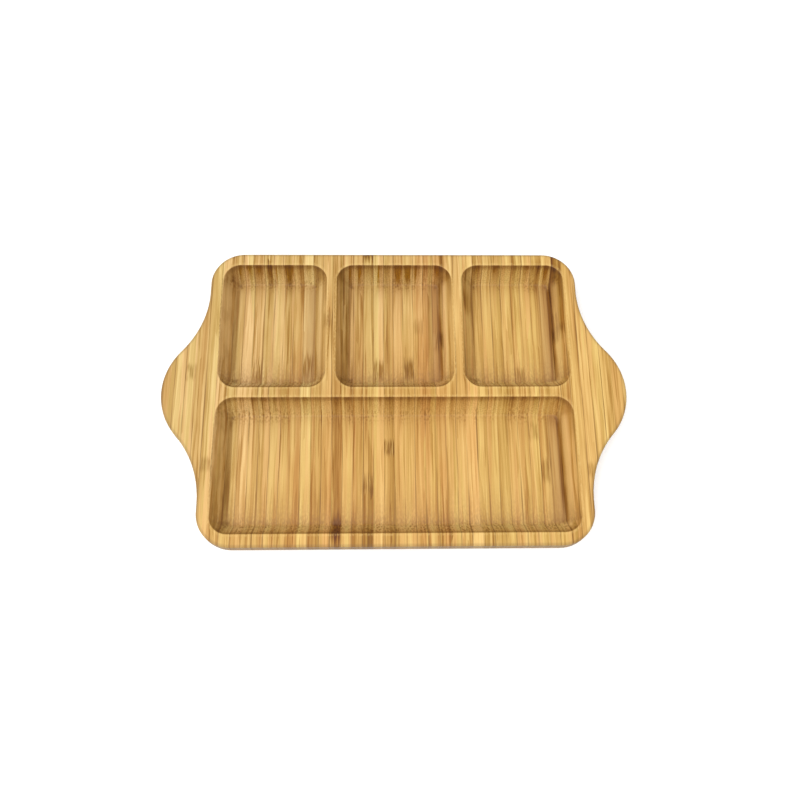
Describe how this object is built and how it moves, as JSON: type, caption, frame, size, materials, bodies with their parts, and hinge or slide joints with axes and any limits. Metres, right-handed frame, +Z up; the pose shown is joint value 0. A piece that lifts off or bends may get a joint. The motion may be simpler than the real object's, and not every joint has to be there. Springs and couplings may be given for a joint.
{
  "type": "divided plate",
  "caption": "Rectangular bamboo plate carved with small compartments along its back and a wide one in front, with a rounded grip at each end for carrying it.",
  "frame": {"origin": "under the middle of the plate, on the surface that it rests on", "axes": "+X along the plate's length to the right-hand grip, -Y to the front with the wide compartment, +Z up out of the compartments"},
  "size_m": [0.33, 0.22, 0.02],
  "materials": {
    "bamboo_pale": "satin, lightly oiled",
    "bamboo_honey": "satin, lightly oiled",
    "bamboo_straw": "satin, lightly oiled",
    "bamboo_tan": "satin, lightly oiled",
    "bamboo_dark": "satin, lightly oiled"
  },
  "bodies": {
    "root": {"left_grip_strip_4": "bamboo_tan", "left_grip_strip_3": "bamboo_straw", "left_grip_strip_2": "bamboo_straw", "left_grip_strip_1": "bamboo_tan", "body_strip_01": "bamboo_honey", "body_strip_02": "bamboo_pale", "body_strip_03": "bamboo_pale", "body_strip_04": "bamboo_honey", "body_strip_05": "bamboo_tan", "body_strip_06": "bamboo_straw", "body_strip_07": "bamboo_straw", "body_strip_08": "bamboo_tan", "body_strip_09": "bamboo_honey", "body_strip_10": "bamboo_pale", "body_strip_11": "bamboo_pale", "body_strip_12": "bamboo_honey", "body_strip_13": "bamboo_dark", "body_strip_14": "bamboo_straw", "body_strip_15": "bamboo_straw", "body_strip_16": "bamboo_tan", "body_strip_17": "bamboo_honey", "body_strip_18": "bamboo_pale", "body_strip_19": "bamboo_pale", "body_strip_20": "bamboo_honey", "body_strip_21": "bamboo_tan", "body_strip_22": "bamboo_straw", "body_strip_23": "bamboo_straw", "body_strip_24": "bamboo_tan", "body_strip_25": "bamboo_honey", "body_strip_26": "bamboo_pale", "body_strip_27": "bamboo_pale", "body_strip_28": "bamboo_honey", "body_strip_29": "bamboo_tan", "body_strip_30": "bamboo_straw", "body_strip_31": "bamboo_straw", "body_strip_32": "bamboo_tan", "body_strip_33": "bamboo_honey", "body_strip_34": "bamboo_pale", "body_strip_35": "bamboo_pale", "body_strip_36": "bamboo_honey", "right_grip_strip_1": "bamboo_tan", "right_grip_strip_2": "bamboo_straw", "right_grip_strip_3": "bamboo_straw", "right_grip_strip_4": "bamboo_tan", "right_grip_strip_5": "bamboo_honey"}
  },
  "joints": []
}
